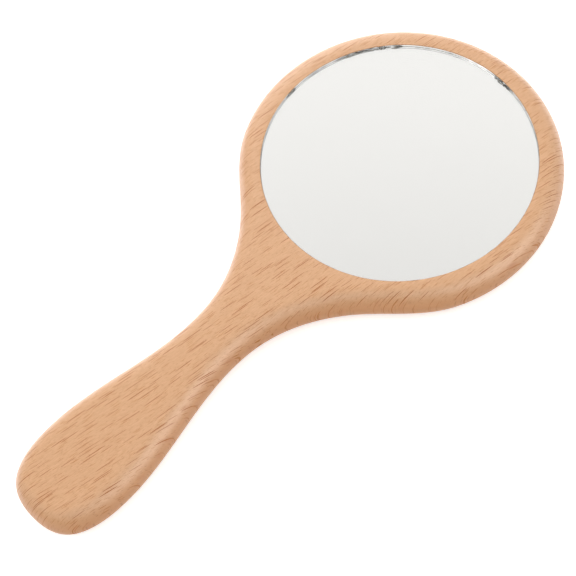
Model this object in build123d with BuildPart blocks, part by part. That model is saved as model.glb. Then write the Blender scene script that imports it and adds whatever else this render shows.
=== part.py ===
"""Round-headed wooden hand mirror.

A one-piece beech body with a routed recess, and a silvered and painted glass disc that strips of
foam tape hold in that recess. Units are millimetres. The origin is the centre of the round head
on the flat back face. +Z comes out of the mirror's face, and the handle runs along -Y.
"""

from build123d import *

import os

# Wooden body
HEAD_RADIUS = 65.0
BODY_THICKNESS = 15.0
EDGE_ROUNDING = 7.0
NECK_START_ANGLE = -27.0  # where the head's circle turns into the neck, seen from the head's centre
HANDLE_END_Y = -196.0
# Half of the handle's outline, from the neck to its end: half-width, and place along the handle
HANDLE_OUTLINE = {
    "neck": (31.7, -58.0),
    "throat": (13.5, -90.0),
    "swell": (15.0, -130.0),
    "palm": (20.6, -165.0),
    "heel": (16.7, -188.0),
}

# Recess for the glass
RECESS_RADIUS = 55.0
RECESS_MOUTH_ROUNDING = 0.15
GLASS_BELOW_FACE = 0.1

# Mirror glass and the coatings on its back
GLASS_SIDE_GAP = 0.1
GLASS_THICKNESS = 2.0
GLASS_ARRIS = 0.1  # the small ground bevel that dulls a cut edge
SILVER_THICKNESS = 0.05
PAINT_THICKNESS = 0.1

# Foam tape under the glass
TAPE_THICKNESS = 1.0
TAPE_WIDTH = 20.0
TAPE_SPACING = 32.0
TAPE_EDGE_MARGIN = 4.0  # from a strip's corners to the recess wall

# Levels, from the front face down to the recess floor
FACE_Z = BODY_THICKNESS
GLASS_BACK_Z = FACE_Z - GLASS_BELOW_FACE - GLASS_THICKNESS
SILVER_BACK_Z = GLASS_BACK_Z - SILVER_THICKNESS
PAINT_BACK_Z = SILVER_BACK_Z - PAINT_THICKNESS
RECESS_FLOOR_Z = PAINT_BACK_Z - TAPE_THICKNESS

GLASS_RADIUS = RECESS_RADIUS - GLASS_SIDE_GAP
COATED_RADIUS = GLASS_RADIUS - GLASS_ARRIS

# Wooden body: round head and waisted handle in one piece, rounded over, then routed for the glass
with BuildPart() as wooden_body:
    with BuildSketch():
        with BuildLine() as outline:
            head = CenterArc((0, 0), HEAD_RADIUS, 90, NECK_START_ANGLE - 90)
            heel_end = (0, HANDLE_END_Y)
            Spline(head @ 1, *HANDLE_OUTLINE.values(), heel_end, tangents=(head % 1, (-1, 0)))
            mirror(outline.line, about=Plane.YZ)
        make_face()
    extrude(amount=BODY_THICKNESS)
    flat_faces = wooden_body.faces().filter_by(Axis.Z)
    fillet(flat_faces.edges(), radius=EDGE_ROUNDING)

    with BuildSketch(Plane.XY.offset(RECESS_FLOOR_Z)):
        Circle(RECESS_RADIUS)
    extrude(amount=FACE_Z - RECESS_FLOOR_Z, mode=Mode.SUBTRACT)
    rims = wooden_body.edges().filter_by(GeomType.CIRCLE).group_by(Axis.Z)[-1]
    mouth = rims.sort_by(SortBy.RADIUS)[0]
    fillet(mouth, radius=RECESS_MOUTH_ROUNDING)

# Mirror glass: clear float glass, with both edges arrissed
with BuildPart() as mirror_glass:
    with BuildSketch(Plane.XY.offset(GLASS_BACK_Z)):
        Circle(GLASS_RADIUS)
    extrude(amount=GLASS_THICKNESS)
    chamfer(mirror_glass.edges().filter_by(GeomType.CIRCLE), length=GLASS_ARRIS)

# Silver coating on the back of the glass
with BuildPart() as silver_coating:
    with BuildSketch(Plane.XY.offset(SILVER_BACK_Z)):
        Circle(COATED_RADIUS)
    extrude(amount=SILVER_THICKNESS)

# Backing paint that seals the silver
with BuildPart() as backing_paint:
    with BuildSketch(Plane.XY.offset(PAINT_BACK_Z)):
        Circle(COATED_RADIUS)
    extrude(amount=PAINT_THICKNESS)

# Foam tape: three parallel double-sided strips, each as long as the recess allows
with BuildPart() as foam_tape_strips:
    with BuildSketch(Plane.XY.offset(RECESS_FLOOR_Z)):
        for strip_x in (-TAPE_SPACING, 0, TAPE_SPACING):
            corner_x = abs(strip_x) + TAPE_WIDTH / 2
            corner_y = ((RECESS_RADIUS - TAPE_EDGE_MARGIN) ** 2 - corner_x**2) ** 0.5
            with Locations((strip_x, 0)):
                Rectangle(TAPE_WIDTH, 2 * corner_y)
    extrude(amount=TAPE_THICKNESS)

pieces = {
    "wooden_body": wooden_body,
    "mirror_glass": mirror_glass,
    "silver_coating": silver_coating,
    "backing_paint": backing_paint,
    "foam_tape_strips": foam_tape_strips,
}
os.makedirs("parts", exist_ok=True)
for name, piece in pieces.items():
    piece.part.label = name
    export_step(piece.part, f"parts/{name}.step")
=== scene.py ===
"""Beech hand mirror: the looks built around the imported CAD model, in metres and in its frame.

The origin is the centre of the round head on the flat back, +Z comes out of the mirror's face and
the handle runs along -Y. The object lies on its back on a pale floor.
"""

import math

import bmesh
import bpy
from mathutils import Matrix, Vector, noise
from mathutils.geometry import delaunay_2d_cdt


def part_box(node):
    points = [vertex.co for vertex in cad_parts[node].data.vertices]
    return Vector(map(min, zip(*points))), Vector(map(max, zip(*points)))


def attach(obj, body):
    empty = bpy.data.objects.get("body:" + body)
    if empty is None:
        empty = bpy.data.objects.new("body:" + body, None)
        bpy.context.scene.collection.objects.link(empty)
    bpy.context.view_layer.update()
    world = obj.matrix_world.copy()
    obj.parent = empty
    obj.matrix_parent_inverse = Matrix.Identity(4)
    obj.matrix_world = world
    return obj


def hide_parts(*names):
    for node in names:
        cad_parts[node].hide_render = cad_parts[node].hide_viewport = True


MM = 0.001

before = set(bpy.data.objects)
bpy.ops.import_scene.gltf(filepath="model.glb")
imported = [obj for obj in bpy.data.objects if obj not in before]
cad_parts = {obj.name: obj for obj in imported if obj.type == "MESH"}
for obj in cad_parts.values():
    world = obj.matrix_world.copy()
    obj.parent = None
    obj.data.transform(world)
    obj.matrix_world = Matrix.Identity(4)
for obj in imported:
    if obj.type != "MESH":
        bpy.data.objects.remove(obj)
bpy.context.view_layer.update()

# Levels that the CAD nodes give
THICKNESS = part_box("wooden_body")[1].z
RECESS_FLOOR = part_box("foam_tape_strips")[0].z
GLASS_LOW, GLASS_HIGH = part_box("mirror_glass")
SILVER_LOW, SILVER_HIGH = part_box("silver_coating")
PAINT_LOW, PAINT_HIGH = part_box("backing_paint")

# Radii: the glass fills its recess a little better than the CAD glass does
GLASS_RADIUS = GLASS_HIGH.x + 0.06 * MM
RECESS_RADIUS = GLASS_RADIUS + 0.04 * MM
COATED_RADIUS = SILVER_HIGH.x + 0.03 * MM

# Edges
EDGE_ROUNDING = 7.0 * MM
MOUTH_ROUNDING = 0.15 * MM
GLASS_ARRIS = 0.1 * MM

# Coatings: the hairline gap above each one, how ragged its rim is, and how finely it wanders
SILVER_CLEARANCE = 0.01 * MM
SILVER_RAGGED = 0.02 * MM
PAINT_CLEARANCE = 0.005 * MM
PAINT_RAGGED = 0.1 * MM
RIM_WANDER_RADIUS = 40

# Foam tape: how far apart the strips sit and how much their cut sides bulge
TAPE_SPACING = 32.0 * MM
TAPE_BULGE = 0.12 * MM
TAPE_CORNER = 0.8 * MM

# Texture sheet of the body: its two skins lie head to foot, and part at a level on the side
SHEET_SIZE = 276 * MM
UPPER_SKIN_AT = Vector((72, 203)) * MM
LOWER_SKIN_AT = Vector((165, 71)) * MM
SKINS_PART_AT = THICKNESS / 2 - 0.6 * MM

GLASS_IOR = 1.52

# Mesh densities
OUTLINE_POINTS = 480
FINE_STEPS = 16
ROUNDING_STEPS = 14
MOUTH_POINTS = 360
MOUTH_STEPS = 4
FILL_SPACING = 2.6 * MM
TAPE_CORNER_STEPS = 5
TAPE_ROWS = (0.0, 0.15, 0.35, 0.65, 0.85, 1.0)
GLASS_EDGE_POINTS = 900
GLASS_EDGE_ROWS = 12

# Edges that turn more than this are shaded sharp
SHARP_FROM = math.radians(40)

# Wood: the grain's lean from +Y towards +X, and the growth rings' spacing and wobble in mm
GRAIN_LEAN = math.radians(10.5)
RING_SPACING = 3.1
RING_WOBBLE = 7.0

# Medullary rays, kind by kind, as the rays function takes them
RAYS = {
    "bold": {"cell": (0.75, 26), "keep": 0.85, "size": (0.1, 0.19), "core": 0.8, "seed": 3.0},
    "faint": {"cell": (0.6, 12), "keep": 0.88, "size": (0.105, 0.185), "core": 0.6, "seed": 19.0},
    "pores": {"cell": (0.34, 2.4), "keep": 0.55, "size": (0.16, 0.34), "core": 0.3, "seed": 57.0},
    "sheets": {"cell": (3.0, 12), "keep": 0.6, "size": (0.15, 0.34), "core": 0.2, "seed": 41.0},
}

# Where the cut edge of the glass is nibbled: middle and half-width in degrees from +X, and how
# badly from 0 to 1. WHOLE_EDGE is how badly it is nibbled everywhere else.
NIBBLES = ((81, 7, 0.7), (136, 6, 1.0), (150, 14, 0.3), (170, 10, 0.08), (186, 4, 0.4))
WHOLE_EDGE = 0.04

# Cut edge of the glass, in mm: how far it wanders all round, and how deep the scallops bite
EDGE_WANDER = 0.02
SCALLOP_DEPTH = 0.9

# Light: brightness of the backdrop, of the ceiling, of the ceiling as the glass edge gathers it,
# and of the sky that the mirror shows, from low to high.
BACKDROP = 1.0
OVERHEAD = 0.7
SEEN_IN_GLASS = 0.95
MIRRORED_SKY = (0.97, 0.70)

# Floor: its size, the gap under the object, and the lift that keeps it white to the eye
FLOOR_SIZE = 8
FLOOR_GAP = 0.05 * MM
FLOOR_LIFT = 0.45

# Heights at which the backdrop gives way to the ceiling, as sines of the elevation
CEILING_FROM, CEILING_TO = 0.68, 0.78

# Camera
CAMERA_AZIMUTH = math.radians(55.15)
CAMERA_ELEVATION = math.radians(62.53)
CAMERA_ROLL = math.radians(-12.06)
CAMERA_DISTANCE = 514.3 * MM
CAMERA_TARGET = Vector((1.4, -66.0, 0)) * MM
CAMERA_LENS = 82.1
SENSOR_WIDTH = 36.0

# Level direction in which the camera looks
AWAY = (-math.sin(CAMERA_AZIMUTH), math.cos(CAMERA_AZIMUTH), 0)


# ---------------------------------------------------------------- node trees


class Nodes:
    """Short calls that build one node tree: each returns a socket to pass on."""

    def __init__(self, tree):
        self.tree = tree

    def add(self, kind, inputs=None, **settings):
        node = self.tree.nodes.new(kind)
        for name, value in settings.items():
            setattr(node, name, value)
        for name, value in (inputs or {}).items():
            if isinstance(value, bpy.types.NodeSocket):
                self.tree.links.new(value, node.inputs[name])
            else:
                node.inputs[name].default_value = value
        return node

    def math(self, operation, *values):
        return self.add("ShaderNodeMath", dict(enumerate(values)), operation=operation).outputs[0]

    def vector(self, operation, *values):
        node = self.add("ShaderNodeVectorMath", dict(enumerate(values)), operation=operation)
        return node.outputs["Value" if operation in ("DOT_PRODUCT", "LENGTH") else "Vector"]

    def noise(self, vector, scale=1.0, detail=2.0, roughness=0.5):
        inputs = {"Vector": vector, "Scale": scale, "Detail": detail, "Roughness": roughness}
        return self.add("ShaderNodeTexNoise", inputs).outputs["Fac"]

    def remap(self, value, low, high, to_low=0.0, to_high=1.0, smooth=False):
        """value from low..high to to_low..to_high, clamped."""
        inputs = {"Value": value, 1: low, 2: high, 3: to_low, 4: to_high}
        kind = "SMOOTHSTEP" if smooth else "LINEAR"
        return self.add("ShaderNodeMapRange", inputs, interpolation_type=kind).outputs["Result"]

    def blend(self, factor, first, second):
        """A number between two others."""
        inputs = {0: factor, 2: first, 3: second}
        return self.add("ShaderNodeMix", inputs, data_type="FLOAT").outputs[0]

    def mix(self, factor, first, second):
        """A colour between two others."""
        inputs = {0: factor, 6: first, 7: second}
        return self.add("ShaderNodeMix", inputs, data_type="RGBA").outputs[2]


def new_material(name):
    """A material with an empty tree, its Nodes helper and its output node."""
    material = bpy.data.materials.new(name)
    material.use_nodes = True
    material.node_tree.nodes.clear()
    nodes = Nodes(material.node_tree)
    output = nodes.add("ShaderNodeOutputMaterial")
    return material, nodes, output


def surface(nodes, output, shader):
    nodes.tree.links.new(shader, output.inputs["Surface"])


def srgb(red, green, blue):
    """A colour given as 0-255 display values, as linear RGBA."""
    shares = [channel / 255 for channel in (red, green, blue)]
    linear = [((s + 0.055) / 1.055) ** 2.4 if s > 0.04 else s / 12.92 for s in shares]
    return (*linear, 1.0)


# ---------------------------------------------------------------- materials


BEECH = {
    "board": srgb(212, 159, 113),
    "mottle": srgb(216, 164, 117),
    "streak": srgb(213, 161, 115),
    "latewood": srgb(196, 139, 91),
    "dark_fibre": srgb(194, 136, 84),
    "light_fibre": srgb(230, 182, 138),
    "sheet": srgb(186, 114, 68),
    # Deeper colour of the sides: partly lacquer soaked into the edge grain, partly painted shade
    "edge": srgb(208, 142, 86),
    "pore": srgb(178, 112, 50),
    "faint_ray": srgb(172, 104, 40),
    "bold_ray_on_side": srgb(184, 110, 60),
    "bold_ray_on_face": srgb(156, 76, 2),
}


def grain_space(nodes):
    """Millimetre coordinates with x across the grain, y along it and z through the board."""
    position = nodes.add("ShaderNodeTexCoord").outputs["Object"]
    turned = nodes.add(
        "ShaderNodeMapping",
        {"Vector": position, "Rotation": (0, 0, GRAIN_LEAN), "Scale": (1000, 1000, 1000)},
        vector_type="POINT",
    ).outputs["Vector"]
    sway = nodes.noise(nodes.vector("MULTIPLY", turned, (0.03, 0.012, 0.02)), detail=1.0)
    drift = nodes.math("MULTIPLY", nodes.math("SUBTRACT", sway, 0.5), 6.0)
    offset = nodes.add("ShaderNodeCombineXYZ", {"X": drift}).outputs[0]
    return nodes.vector("ADD", turned, offset)


def rays(nodes, grain, cell, keep, size, core, seed):
    """Medullary rays: spindles thin across the grain and long along it, right through the board.

    cell is the spacing in mm of the cells they sit in, keep the share of cells that hold one, size
    the smallest and largest half-length in cells, and core the part of a ray at full strength.
    Returns 0 on plain wood to 1 in a ray.
    """
    stretched = nodes.vector("MULTIPLY", grain, (1 / cell[0], 1 / cell[1], 0))
    shifted = nodes.vector("ADD", stretched, (seed, seed * 0.37, 0))
    cells = nodes.add(
        "ShaderNodeTexVoronoi",
        {"Vector": shifted, "Scale": 1.0},
        feature="F1",
        voronoi_dimensions="2D",
    )
    random = nodes.add("ShaderNodeSeparateColor", {"Color": cells.outputs["Color"]})
    reach = nodes.remap(random.outputs["Green"], 0, 1, *size)
    inner = nodes.math("MULTIPLY", reach, core)
    spindle = nodes.add(
        "ShaderNodeMapRange",
        {"Value": cells.outputs["Distance"], 1: reach, 2: inner, 3: 0.0, 4: 1.0},
        interpolation_type="SMOOTHSTEP",
    ).outputs["Result"]
    kept = nodes.math("LESS_THAN", random.outputs["Red"], keep)
    depth = nodes.remap(random.outputs["Blue"], 0, 1, 0.5, 1.0)
    return nodes.math("MULTIPLY", nodes.math("MULTIPLY", spindle, kept), depth)


def growth_rings(nodes, grain):
    """Faint latewood lines of a flat-sawn board, whose pith lies below its back. 0 to 1."""
    pith = nodes.vector("MULTIPLY", nodes.vector("ADD", grain, (-14, 0, 78)), (1, 0.012, 1))
    wobble = nodes.noise(nodes.vector("MULTIPLY", grain, (0.05, 0.012, 0.05)), detail=2.0)
    wander = nodes.math("MULTIPLY", wobble, RING_WOBBLE)
    radius = nodes.math("ADD", nodes.vector("LENGTH", pith), wander)
    phase = nodes.math("FRACT", nodes.math("DIVIDE", radius, RING_SPACING))
    late = nodes.math("POWER", phase, 3.0)
    fade_out = nodes.remap(phase, 0.93, 1.0, 1.0, 0.0)
    return nodes.math("MULTIPLY", late, fade_out)


def beech_colour(nodes, grain, normal, upright, figure, fibres):
    """The wood's colour, from the board's own through fibres and rings to the rays on top."""
    sideways = nodes.vector("DOT_PRODUCT", normal, (math.cos(GRAIN_LEAN), -math.sin(GRAIN_LEAN), 0))
    on_face = nodes.remap(upright, 0.3, 0.8, smooth=True)
    on_side = nodes.remap(nodes.math("ABSOLUTE", sideways), 0.45, 0.85, smooth=True)
    streaks = nodes.noise(nodes.vector("MULTIPLY", grain, (0.35, 0.014, 0.25)), detail=2.0)
    mottle = nodes.noise(nodes.vector("MULTIPLY", grain, (0.05, 0.02, 0.05)), detail=2.0)
    sheets = nodes.math("MULTIPLY", figure["sheets"], on_side)
    bold_ray = nodes.mix(on_face, BEECH["bold_ray_on_side"], BEECH["bold_ray_on_face"])
    bold_strength = nodes.remap(on_face, 0, 1, 0.5, 0.92)
    layers = (
        (nodes.remap(streaks, 0.35, 0.65), BEECH["streak"]),
        (nodes.math("MULTIPLY", growth_rings(nodes, grain), 0.12), BEECH["latewood"]),
        (nodes.remap(fibres, 0.25, 0.5, 0.6, 0.0), BEECH["dark_fibre"]),
        (nodes.remap(fibres, 0.5, 0.75, 0.0, 0.6), BEECH["light_fibre"]),
        (nodes.math("MULTIPLY", sheets, 0.7), BEECH["sheet"]),
        # The sides deepen as the surface turns from up: partly soaked-in lacquer, partly painted
        # shade
        (nodes.remap(upright, 0.9, 0.4, 0.0, 0.7), BEECH["edge"]),
        (nodes.math("MULTIPLY", figure["pores"], 0.75), BEECH["pore"]),
        (nodes.math("MULTIPLY", figure["faint"], 0.6), BEECH["faint_ray"]),
        (nodes.math("MULTIPLY", figure["bold"], bold_strength), bold_ray),
    )
    colour = nodes.mix(mottle, BEECH["board"], BEECH["mottle"])
    for strength, layer in layers:
        colour = nodes.mix(strength, colour, layer)
    return colour


def beech_gloss(nodes, upright, figure):
    """How much lacquer shows: less on the sides, and hardly any on the open grain of the rays."""
    lacquer = nodes.remap(upright, 0.1, 0.6, 0.5, 1.0)
    flecks = nodes.math("MAXIMUM", figure["bold"], figure["faint"])
    open_grain = nodes.math("MULTIPLY", flecks, 0.85)
    return nodes.math("MULTIPLY", lacquer, nodes.math("SUBTRACT", 1.0, open_grain))


def beech_relief(nodes, grain, figure, fibres):
    """The normal of the lacquered wood: fine grain over the soft unevenness that sanding leaves."""
    raised = nodes.math("MULTIPLY", fibres, 0.4)
    sunk = nodes.math("MULTIPLY", figure["bold"], 0.4)
    relief = nodes.math("SUBTRACT", raised, sunk)
    fine = nodes.add("ShaderNodeBump", {"Height": relief, "Strength": 0.3, "Distance": 0.02 * MM})
    sanding = nodes.noise(nodes.vector("MULTIPLY", grain, (0.3, 0.14, 0.3)), detail=2.0)
    soft = nodes.add(
        "ShaderNodeBump",
        {
            "Height": sanding,
            "Strength": 1.0,
            "Distance": 0.12 * MM,
            "Normal": fine.outputs["Normal"],
        },
    )
    return soft.outputs["Normal"]


def beech():
    """Steamed beech under satin lacquer: rays, growth rings and fibres, solid through the board."""
    material, nodes, output = new_material("beech")
    grain = grain_space(nodes)
    normal = nodes.add("ShaderNodeTexCoord").outputs["Normal"]
    normal_z = nodes.add("ShaderNodeSeparateXYZ", {"Vector": normal}).outputs["Z"]
    upright = nodes.math("ABSOLUTE", normal_z)
    figure = {kind: rays(nodes, grain, **sizes) for kind, sizes in RAYS.items()}
    fine_grain = nodes.vector("MULTIPLY", grain, (4.2, 0.3, 1.5))
    fibres = nodes.noise(fine_grain, detail=3.0, roughness=0.75)
    gloss = beech_gloss(nodes, upright, figure)
    shader = nodes.add(
        "ShaderNodeBsdfPrincipled",
        {
            "Base Color": beech_colour(nodes, grain, normal, upright, figure, fibres),
            "Roughness": nodes.remap(fibres, 0.3, 0.7, 0.5, 0.6),
            "IOR": 1.5,
            "Specular IOR Level": nodes.math("MULTIPLY", gloss, 0.5),
            "Coat Weight": gloss,
            "Coat Roughness": 0.43,
            "Coat IOR": 1.6,
            "Normal": beech_relief(nodes, grain, figure, fibres),
        },
    )
    surface(nodes, output, shader.outputs["BSDF"])
    return material


def float_glass():
    """Clear float glass with the slight green of its iron."""
    material, nodes, output = new_material("float_glass")
    position = nodes.add("ShaderNodeTexCoord").outputs["Object"]
    handled = nodes.noise(nodes.vector("MULTIPLY", position, (60, 60, 60)), detail=3.0)
    shader = nodes.add(
        "ShaderNodeBsdfPrincipled",
        {
            "Base Color": (0.997, 0.998, 0.995, 1),
            "Roughness": nodes.remap(handled, 0.4, 0.8, 0.0, 0.012),
            "IOR": GLASS_IOR,
            "Transmission Weight": 1.0,
        },
    )
    surface(nodes, output, shader.outputs["BSDF"])
    return material


def glass_edge():
    """The cut edge of the glass: greener than the face, a little rough, with painted grey shade in
    its chips.
    """
    material, nodes, output = new_material("float_glass_edge")
    position = nodes.add("ShaderNodeTexCoord").outputs["Object"]
    grit = nodes.noise(nodes.vector("MULTIPLY", position, (500, 500, 900)), detail=2.0)
    radius = nodes.vector("LENGTH", nodes.vector("MULTIPLY", position, (1, 1, 0)))
    chip_rim, chip_bottom = GLASS_RADIUS - 0.1 * MM, GLASS_RADIUS - 0.5 * MM
    chip = nodes.remap(radius, chip_rim, chip_bottom, 0.0, 0.8)
    shader = nodes.add(
        "ShaderNodeBsdfPrincipled",
        {
            "Base Color": (0.93, 0.97, 0.95, 1),
            "Roughness": nodes.remap(grit, 0.4, 0.7, 0.0, 0.05),
            "IOR": GLASS_IOR,
            "Transmission Weight": 1.0,
        },
    )
    # Painted shade: a grey matt finish that darkens the edge deeper into its chips
    painted_chip_shade = nodes.add("ShaderNodeBsdfDiffuse", {"Color": srgb(120, 118, 112)})
    chips_with_painted_shade = nodes.add("ShaderNodeMixShader", {0: chip, 1: shader.outputs[0], 2: painted_chip_shade.outputs[0]})
    surface(nodes, output, chips_with_painted_shade.outputs[0])
    return material


def ground_arris():
    """The small bevel ground on the edges of the glass, which is matt and whitish."""
    material, nodes, output = new_material("ground_arris")
    position = nodes.add("ShaderNodeTexCoord").outputs["Object"]
    grit = nodes.noise(nodes.vector("MULTIPLY", position, (300, 300, 300)), detail=2.0)
    powder = nodes.mix(nodes.remap(grit, 0.35, 0.65), (0.78, 0.81, 0.8, 1), (0.9, 0.91, 0.9, 1))
    shader = nodes.add(
        "ShaderNodeBsdfPrincipled",
        {
            "Base Color": powder,
            "Roughness": 0.45,
            "IOR": GLASS_IOR,
            "Transmission Weight": 0.15,
        },
    )
    surface(nodes, output, shader.outputs["BSDF"])
    return material


def silver():
    """The reflecting layer, with a trace of unevenness."""
    material, nodes, output = new_material("silver")
    position = nodes.add("ShaderNodeTexCoord").outputs["Object"]
    cloud = nodes.noise(nodes.vector("MULTIPLY", position, (35, 35, 35)), detail=2.0)
    shader = nodes.add(
        "ShaderNodeBsdfPrincipled",
        {
            "Base Color": nodes.mix(cloud, (0.945, 0.942, 0.936, 1), (0.955, 0.952, 0.946, 1)),
            "Metallic": 1.0,
            "Roughness": nodes.remap(cloud, 0.3, 0.7, 0.0, 0.01),
        },
    )
    surface(nodes, output, shader.outputs["BSDF"])
    return material


def speckled(name, base, speck, scale, roughness, bump_depth):
    """A dull material with fine specks and relief, for the paint and the foam."""
    material, nodes, output = new_material(name)
    position = nodes.add("ShaderNodeTexCoord").outputs["Object"]
    grit = nodes.noise(nodes.vector("MULTIPLY", position, (scale,) * 3), detail=4.0, roughness=0.6)
    bump = nodes.add("ShaderNodeBump", {"Height": grit, "Strength": 0.5, "Distance": bump_depth})
    shader = nodes.add(
        "ShaderNodeBsdfPrincipled",
        {
            "Base Color": nodes.mix(nodes.remap(grit, 0.35, 0.65), base, speck),
            "Roughness": nodes.remap(grit, 0.3, 0.7, roughness, min(1.0, roughness + 0.1)),
            "Normal": bump.outputs["Normal"],
        },
    )
    surface(nodes, output, shader.outputs["BSDF"])
    return material


def pale_floor():
    """A white sweep, over-exposed to the eye and brighter at the back, and clear from below."""
    material, nodes, output = new_material("pale_floor")
    matt = nodes.add("ShaderNodeBsdfDiffuse", {"Color": (0.93, 0.93, 0.93, 1)})
    path = nodes.add("ShaderNodeLightPath").outputs
    incoming = nodes.add("ShaderNodeNewGeometry").outputs["Incoming"]
    behind = nodes.remap(nodes.vector("DOT_PRODUCT", incoming, AWAY), 0.7, -0.7, 0.0, 3.0)
    mirrored = nodes.math("MULTIPLY", path["Is Glossy Ray"], behind)
    seen = nodes.math("MAXIMUM", path["Is Camera Ray"], mirrored)
    lift = nodes.math("MULTIPLY", seen, FLOOR_LIFT)
    glow = nodes.add("ShaderNodeEmission", {"Color": (1, 1, 1, 1), "Strength": lift})
    paint = nodes.add("ShaderNodeAddShader", {0: matt.outputs[0], 1: glow.outputs[0]})
    clear = nodes.add("ShaderNodeBsdfTransparent")
    below = nodes.add("ShaderNodeNewGeometry").outputs["Backfacing"]
    shader = nodes.add("ShaderNodeMixShader", {0: below, 1: paint.outputs[0], 2: clear.outputs[0]})
    surface(nodes, output, shader.outputs[0])
    return material


# ---------------------------------------------------------------- meshes


def cad_loop(node, level):
    """The closed loop of a CAD node's edges at one height, as 2-D points in order."""
    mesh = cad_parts[node].data
    neighbours = {}
    for edge in mesh.edges:
        ends = [mesh.vertices[i].co for i in edge.vertices]
        if max(abs(end.z - level) for end in ends) < 1e-6:
            first, second = ((round(end.x, 6), round(end.y, 6)) for end in ends)
            if first != second:
                neighbours.setdefault(first, set()).add(second)
                neighbours.setdefault(second, set()).add(first)
    start = max(neighbours, key=lambda point: point[1])
    loop = [start, min(neighbours[start])]
    while True:
        onward = neighbours[loop[-1]] - {loop[-2]}
        following = onward.pop()
        if following == start:
            return [Vector(point) for point in loop]
        loop.append(following)


def evenly(loop, count):
    """count points evenly spaced by length along the smooth closed curve through a 2-D loop."""
    before, after = loop[-1:] + loop[:-1], loop[1:] + loop[:1]
    spans = [(there - here).length for here, there in zip(loop, after)]
    slopes = []
    for previous, here, following, span in zip(before, loop, after, spans):
        past = (here - previous).length
        slope = (following - here) / span * past + (here - previous) / past * span
        slopes.append(slope / (past + span))
    fine = []
    for here, there, start, end, span in zip(loop, after, slopes, slopes[1:] + slopes[:1], spans):
        for step in range(FINE_STEPS):
            t = step / FINE_STEPS
            fine.append(
                here * (2 * t**3 - 3 * t**2 + 1)
                + start * span * (t**3 - 2 * t**2 + t)
                + there * (3 * t**2 - 2 * t**3)
                + end * span * (t**3 - t**2)
            )
    lengths = [0.0]
    for here, there in zip(fine, fine[1:] + fine[:1]):
        lengths.append(lengths[-1] + (there - here).length)
    points, segment = [], 0
    for i in range(count):
        target = lengths[-1] * i / count
        while lengths[segment + 1] < target:
            segment += 1
        share = (target - lengths[segment]) / (lengths[segment + 1] - lengths[segment])
        points.append(fine[segment].lerp(fine[(segment + 1) % len(fine)], share))
    return points


def outward(points):
    """Unit normals of a closed 2-D loop, pointing away from its inside."""
    normals = []
    for before, after in zip(points[-1:] + points[:-1], points[1:] + points[:1]):
        along = (after - before).normalized()
        normals.append(Vector((along.y, -along.x)))
    area = sum(a.x * b.y - b.x * a.y for a, b in zip(points, points[1:] + points[:1]))
    return normals if area > 0 else [-normal for normal in normals]


def ring(bm, points, z):
    return [bm.verts.new((point.x, point.y, z)) for point in points]


def bridge(bm, lower, upper):
    """Quads between two rings of the same count."""
    count = len(lower)
    for i in range(count):
        j = (i + 1) % count
        bm.faces.new((lower[i], lower[j], upper[j], upper[i]))


def circle(radius, count):
    turns = (2 * math.pi * i / count for i in range(count))
    return [Vector((math.cos(turn), math.sin(turn))) * radius for turn in turns]


def inside(point, loop):
    """Whether a 2-D point lies inside a closed 2-D loop."""
    crossings = 0
    for a, b in zip(loop, loop[1:] + loop[:1]):
        if (a.y > point.y) != (b.y > point.y):
            crossings += point.x < a.x + (point.y - a.y) / (b.y - a.y) * (b.x - a.x)
    return crossings % 2 == 1


def fill(bm, rings, z, spacing):
    """Even triangles over a flat region: the first ring bounds it and the others are holes."""
    loops = [[vert.co.to_2d() for vert in verts] for verts in rings]
    verts = [vert for each in rings for vert in each]
    points = [vert.co.to_2d() for vert in verts]
    edges, start = [], 0
    for loop in loops:
        count = len(loop)
        edges += [(start + i, start + (i + 1) % count) for i in range(count)]
        start += count
    low = Vector((min(p.x for p in points), min(p.y for p in points)))
    high = Vector((max(p.x for p in points), max(p.y for p in points)))
    row_height = spacing * math.sqrt(3) / 2
    # The grid starts a little way in, so that none of its points lands on a straight edge
    for row in range(int((high.y - low.y) / row_height) + 1):
        for column in range(int((high.x - low.x) / spacing) + 1):
            across, up = column + 0.25 + 0.5 * (row % 2), row + 0.5
            point = low + Vector((across * spacing, up * row_height))
            if not inside(point, loops[0]) or any(inside(point, hole) for hole in loops[1:]):
                continue
            if min((point - other).length for other in points[:start]) > 0.6 * spacing:
                points.append(point)
                verts.append(bm.verts.new((point.x, point.y, z)))
    result = delaunay_2d_cdt(points, edges, [], 0, 1e-9)
    for face in result[2]:
        middle = sum((result[0][i] for i in face), Vector((0, 0))) / 3
        if inside(middle, loops[0]) and not any(inside(middle, hole) for hole in loops[1:]):
            bm.faces.new([verts[result[3][i][0]] for i in face])


def finish_mesh(bm, name, materials):
    """Turns a bmesh into a smooth-shaded object whose sharp edges stay sharp."""
    bmesh.ops.recalc_face_normals(bm, faces=bm.faces)
    mesh = bpy.data.meshes.new(name)
    bm.to_mesh(mesh)
    bm.free()
    for material in materials:
        mesh.materials.append(material)
    mesh.shade_smooth()
    mesh.set_sharp_from_angle(angle=SHARP_FROM)
    piece = bpy.data.objects.new(name, mesh)
    bpy.context.scene.collection.objects.link(piece)
    return piece


def quarter_round(steps, size):
    """(inset, drop) pairs down a rounded edge, from the flat to the side."""
    turns = (math.pi / 2 * i / steps for i in range(steps + 1))
    return [(size * (1 - math.sin(turn)), size * (1 - math.cos(turn))) for turn in turns]


def laid_flat(vert, rim, upper):
    """Where a vertex lands when the upper or lower skin of the body is unrolled onto a plane."""
    drop = THICKNESS - vert.co.z if upper else vert.co.z
    flat = vert.co.to_2d()
    if vert in rim:
        point, normal = rim[vert]
        turn = math.acos(max(0.0, 1 - drop / EDGE_ROUNDING))
        past = max(0.0, drop - EDGE_ROUNDING)
        return point + normal * (EDGE_ROUNDING * (turn - 1) + past)
    if not upper or flat.length > RECESS_RADIUS + MOUTH_ROUNDING:
        return flat
    unrolled = RECESS_RADIUS + MOUTH_ROUNDING - drop
    return flat * (unrolled / max(flat.length, RECESS_RADIUS))


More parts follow.
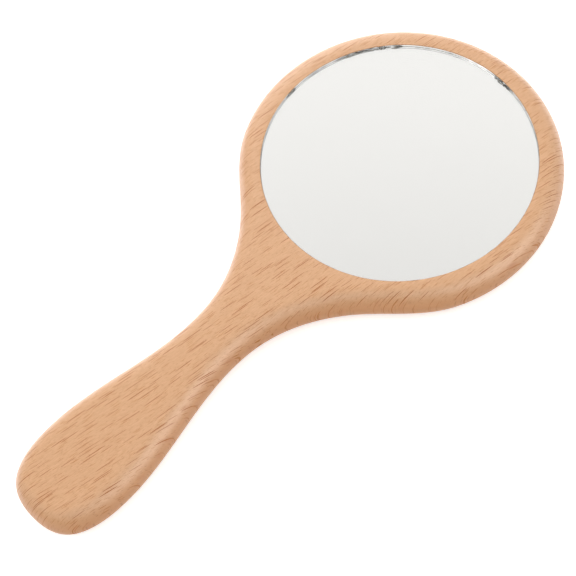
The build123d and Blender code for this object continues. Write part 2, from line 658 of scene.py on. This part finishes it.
def add_sheet(bm, rim):
    """The texture layer of the body, whose seam runs round the middle of its side."""
    layer = bm.loops.layers.uv.new("OFBake")
    for face in bm.faces:
        upper = face.calc_center_median().z > SKINS_PART_AT
        for loop in face.loops:
            place_on_sheet = laid_flat(loop.vert, rim, upper)
            if upper:
                place_on_sheet = place_on_sheet + UPPER_SKIN_AT
            else:
                place_on_sheet = Vector((place_on_sheet.x, -place_on_sheet.y)) + LOWER_SKIN_AT
            loop[layer].uv = place_on_sheet / SHEET_SIZE


def wooden_body(material):
    """The one-piece body: flats, rounded edges and the recess, as one closed mesh."""
    outline = evenly(cad_loop("wooden_body", THICKNESS - EDGE_ROUNDING), OUTLINE_POINTS)
    normals = outward(outline)
    bm = bmesh.new()
    rim = {}

    def inset_ring(inset, z):
        verts = ring(bm, [p - n * inset for p, n in zip(outline, normals)], z)
        rim.update(zip(verts, zip(outline, normals)))
        return verts

    profile = quarter_round(ROUNDING_STEPS, EDGE_ROUNDING)
    face_side = [inset_ring(inset, THICKNESS - drop) for inset, drop in profile]
    back_side = [inset_ring(inset, drop) for inset, drop in reversed(profile)]
    rings = face_side + back_side
    for upper, lower in zip(rings, rings[1:]):
        bridge(bm, lower, upper)

    mouth = [
        ring(bm, circle(RECESS_RADIUS + inset, MOUTH_POINTS), THICKNESS - drop)
        for inset, drop in quarter_round(MOUTH_STEPS, MOUTH_ROUNDING)
    ]
    mouth.append(ring(bm, circle(RECESS_RADIUS, MOUTH_POINTS), RECESS_FLOOR))
    for upper, lower in zip(mouth, mouth[1:]):
        bridge(bm, upper, lower)
    fill(bm, [face_side[0], mouth[0]], THICKNESS, FILL_SPACING)
    fill(bm, [mouth[-1]], RECESS_FLOOR, 2 * FILL_SPACING)
    fill(bm, [back_side[-1]], 0.0, FILL_SPACING)
    add_sheet(bm, rim)
    return finish_mesh(bm, "beech_body", [material])


def nibbled(turn):
    """How badly the edge of the glass is nibbled at an angle in degrees from +X, from 0 to 1."""
    worst = WHOLE_EDGE
    for middle, half_width, depth in NIBBLES:
        worst = max(worst, depth * (1 - abs(turn - middle) / half_width))
    return worst


def chipped(point, height):
    """How far the glass's cut edge falls short of its full radius, at a rim point and height."""
    at = Vector((point.x, point.y, height)) / MM
    slow = noise.noise(at * 0.12)
    across = Vector((at.x * 0.22, at.y * 0.22, at.z * 2.2 + 2.5 * slow))
    scallops = max(0.0, noise.noise(across) + 0.5 * noise.noise(across * 2.7))
    turn = math.degrees(math.atan2(point.y, point.x)) % 360
    bite = SCALLOP_DEPTH * scallops * min(1.0, 2.5 * nibbled(turn))
    return (EDGE_WANDER * (1 + slow) + bite) * MM


def mirror_glass(face_material, edge_material, arris_material):
    """The glass disc: flat faces, a matt arris round both, and a snapped edge between them."""
    bm = bmesh.new()
    full = circle(GLASS_RADIUS, GLASS_EDGE_POINTS)
    bevelled = circle(GLASS_RADIUS - GLASS_ARRIS, GLASS_EDGE_POINTS)
    wall_high, wall_low = GLASS_HIGH.z - GLASS_ARRIS, GLASS_LOW.z + GLASS_ARRIS
    rows = [ring(bm, bevelled, GLASS_HIGH.z)]
    for row in range(GLASS_EDGE_ROWS + 1):
        z = wall_high + (wall_low - wall_high) * row / GLASS_EDGE_ROWS
        edge = [point * (1 - chipped(point, z) / GLASS_RADIUS) for point in full]
        rows.append(ring(bm, edge, z))
    rows.append(ring(bm, bevelled, GLASS_LOW.z))
    for number, (upper, lower) in enumerate(zip(rows, rows[1:])):
        is_arris = number in (0, len(rows) - 2)
        before = len(bm.faces)
        bridge(bm, lower, upper)
        bm.faces.ensure_lookup_table()
        for face in bm.faces[before:]:
            face.material_index = 2 if is_arris else 1
    fill(bm, [rows[0]], GLASS_HIGH.z, 2 * FILL_SPACING)
    fill(bm, [rows[-1]], GLASS_LOW.z, 2 * FILL_SPACING)
    return finish_mesh(bm, "float_glass_disc", [face_material, edge_material, arris_material])


def thin_disc(name, material, low, high, ragged):
    """A coating on the back of the glass, whose rim is slightly ragged."""
    bm = bmesh.new()
    rim = []
    for i in range(GLASS_EDGE_POINTS):
        turn = 2 * math.pi * i / GLASS_EDGE_POINTS
        at = Vector((math.cos(turn), math.sin(turn), 0)) * RIM_WANDER_RADIUS
        radius = COATED_RADIUS - ragged * (1 + noise.noise(at))
        rim.append(Vector((math.cos(turn), math.sin(turn))) * radius)
    top, bottom = ring(bm, rim, high), ring(bm, rim, low)
    bridge(bm, bottom, top)
    fill(bm, [top], high, 3 * FILL_SPACING)
    fill(bm, [bottom], low, 3 * FILL_SPACING)
    return finish_mesh(bm, name, [material])


def rounded_rectangle(low, high, radius, steps):
    """A closed 2-D loop round the box between two corners, with its own corners rounded."""
    left, right = low.x + radius, high.x - radius
    bottom, top = low.y + radius, high.y - radius
    points = []
    for number, centre in enumerate(((right, top), (left, top), (left, bottom), (right, bottom))):
        for step in range(steps + 1):
            turn = math.pi / 2 * (number + step / steps)
            points.append(Vector(centre) + Vector((math.cos(turn), math.sin(turn))) * radius)
    return points


def foam_strips(material):
    """The strips of foam tape that hold the glass, whose cut sides bulge a little."""
    corners = [vertex.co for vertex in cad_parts["foam_tape_strips"].data.vertices]
    low_z, high_z = (corner.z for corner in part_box("foam_tape_strips"))
    bm = bmesh.new()
    for middle in (-TAPE_SPACING, 0.0, TAPE_SPACING):
        own = [c for c in corners if abs(c.x - middle) < TAPE_SPACING / 2]
        low = Vector((min(c.x for c in own), min(c.y for c in own)))
        high = Vector((max(c.x for c in own), max(c.y for c in own)))
        rows = []
        for share in TAPE_ROWS:
            inset = TAPE_BULGE * (2 * share - 1) ** 2
            margin = Vector((inset, inset))
            loop = rounded_rectangle(low + margin, high - margin, TAPE_CORNER, TAPE_CORNER_STEPS)
            rows.append(ring(bm, loop, low_z + (high_z - low_z) * share))
        for lower, upper in zip(rows, rows[1:]):
            bridge(bm, lower, upper)
        fill(bm, [rows[0]], low_z, 2 * FILL_SPACING)
        fill(bm, [rows[-1]], high_z, 2 * FILL_SPACING)
    return finish_mesh(bm, "foam_strips", [material])


# ---------------------------------------------------------------- stage


def add_floor():
    bpy.ops.mesh.primitive_plane_add(size=FLOOR_SIZE, location=(0, 0, -FLOOR_GAP))
    floor = bpy.context.object
    floor.name = "pale_floor"
    floor.data.materials.append(pale_floor())


def add_sky():
    """Studio surroundings: a bright backdrop behind the object, greyer overhead and in front."""
    world = bpy.data.worlds.new("studio")
    bpy.context.scene.world = world
    world.use_nodes = True
    world.node_tree.nodes.clear()
    nodes = Nodes(world.node_tree)
    direction = nodes.add("ShaderNodeTexCoord").outputs["Generated"]
    height = nodes.add("ShaderNodeSeparateXYZ", {"Vector": direction}).outputs["Z"]
    level = nodes.vector("NORMALIZE", nodes.vector("MULTIPLY", direction, (1, 1, 0)))
    facing = nodes.vector("DOT_PRODUCT", level, AWAY)
    behind = nodes.remap(facing, -0.9, 1.0, smooth=True)
    near_side = nodes.remap(height, 0.0, 0.7, 0.0, OVERHEAD)
    low = nodes.blend(behind, near_side, BACKDROP)
    mirrored = nodes.remap(height, CEILING_TO, 1.0, *MIRRORED_SKY, smooth=True)
    through_glass = nodes.add("ShaderNodeLightPath").outputs["Is Transmission Ray"]
    ceiling = nodes.blend(through_glass, OVERHEAD, SEEN_IN_GLASS)
    high = nodes.blend(nodes.remap(facing, 0.6, 0.9, smooth=True), ceiling, mirrored)
    strength = nodes.blend(nodes.remap(height, CEILING_FROM, CEILING_TO, smooth=True), low, high)
    glow = {"Color": (1, 0.993, 0.976, 1), "Strength": strength}
    background = nodes.add("ShaderNodeBackground", glow)
    output = nodes.add("ShaderNodeOutputWorld")
    world.node_tree.links.new(background.outputs[0], output.inputs["Surface"])


def direction_from(azimuth, elevation):
    """Unit vector towards an azimuth, from -Y round to +X, and an elevation, both in radians."""
    level = math.cos(elevation)
    return Vector((math.sin(azimuth) * level, -math.cos(azimuth) * level, math.sin(elevation)))


def add_softbox(name, azimuth, elevation, distance, size, power, shows_as="all"):
    """A square area light that looks at the object from a direction given in degrees.

    shows_as "sheen" limits it to reflections in the lacquer, and "shade" to the matt light.
    """
    away = direction_from(math.radians(azimuth), math.radians(elevation))
    light = bpy.data.lights.new(name, "AREA")
    light.shape = "SQUARE"
    light.size = size
    light.energy = power
    lamp = bpy.data.objects.new(name, light)
    lamp.location = CAMERA_TARGET + away * distance
    lamp.rotation_mode = "QUATERNION"
    lamp.rotation_quaternion = away.to_track_quat("Z", "Y")
    lamp.visible_diffuse = shows_as != "sheen"
    lamp.visible_glossy = shows_as != "shade"
    lamp.visible_transmission = shows_as == "all"
    bpy.context.scene.collection.objects.link(lamp)


def add_camera():
    back = direction_from(CAMERA_AZIMUTH, CAMERA_ELEVATION)
    level_right = Vector((math.cos(CAMERA_AZIMUTH), math.sin(CAMERA_AZIMUTH), 0))
    level_up = back.cross(level_right)
    right = level_right * math.cos(CAMERA_ROLL) + level_up * math.sin(CAMERA_ROLL)
    up = back.cross(right)
    camera = bpy.data.objects.new("camera", bpy.data.cameras.new("camera"))
    camera.data.lens = CAMERA_LENS
    camera.data.sensor_width = SENSOR_WIDTH
    camera.data.clip_start = 0.01
    turned = Matrix((right, up, back)).transposed().to_4x4()
    camera.matrix_world = Matrix.Translation(CAMERA_TARGET + back * CAMERA_DISTANCE) @ turned
    bpy.context.scene.collection.objects.link(camera)
    bpy.context.scene.camera = camera


# ---------------------------------------------------------------- the object


def place(piece, node):
    """piece rides on the object's one body and stands for a CAD node."""
    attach(piece, "root")
    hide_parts(node)


def build_object():
    paint = speckled("backing_paint", srgb(88, 94, 98), srgb(104, 110, 112), 2500, 0.7, 0.01 * MM)
    foam = speckled("foam_tape", srgb(226, 224, 216), srgb(240, 239, 234), 3000, 0.85, 0.05 * MM)
    place(wooden_body(beech()), "wooden_body")
    place(mirror_glass(float_glass(), glass_edge(), ground_arris()), "mirror_glass")
    silver_top = SILVER_HIGH.z - SILVER_CLEARANCE
    coating = thin_disc("silver_layer", silver(), SILVER_LOW.z, silver_top, SILVER_RAGGED)
    place(coating, "silver_coating")
    paint_top = PAINT_HIGH.z - PAINT_CLEARANCE
    sealing = thin_disc("back_paint_layer", paint, PAINT_LOW.z, paint_top, PAINT_RAGGED)
    place(sealing, "backing_paint")
    place(foam_strips(foam), "foam_tape_strips")


def build_studio():
    add_floor()
    add_sky()
    add_softbox("back_softbox", azimuth=235, elevation=30, distance=0.6, size=0.3, power=0.8)
    add_softbox(
        "right_softbox",
        azimuth=114,
        elevation=34,
        distance=1.5,
        size=1.3,
        power=13,
        shows_as="sheen",
    )
    add_softbox(
        "fill_softbox",
        azimuth=60,
        elevation=66,
        distance=1.5,
        size=1.0,
        power=5.6,
        shows_as="shade",
    )
    add_softbox("left_softbox", azimuth=335, elevation=40, distance=1.5, size=0.6, power=1.2)
    add_camera()
    bpy.context.scene.view_settings.view_transform = "Standard"


build_object()
build_studio()
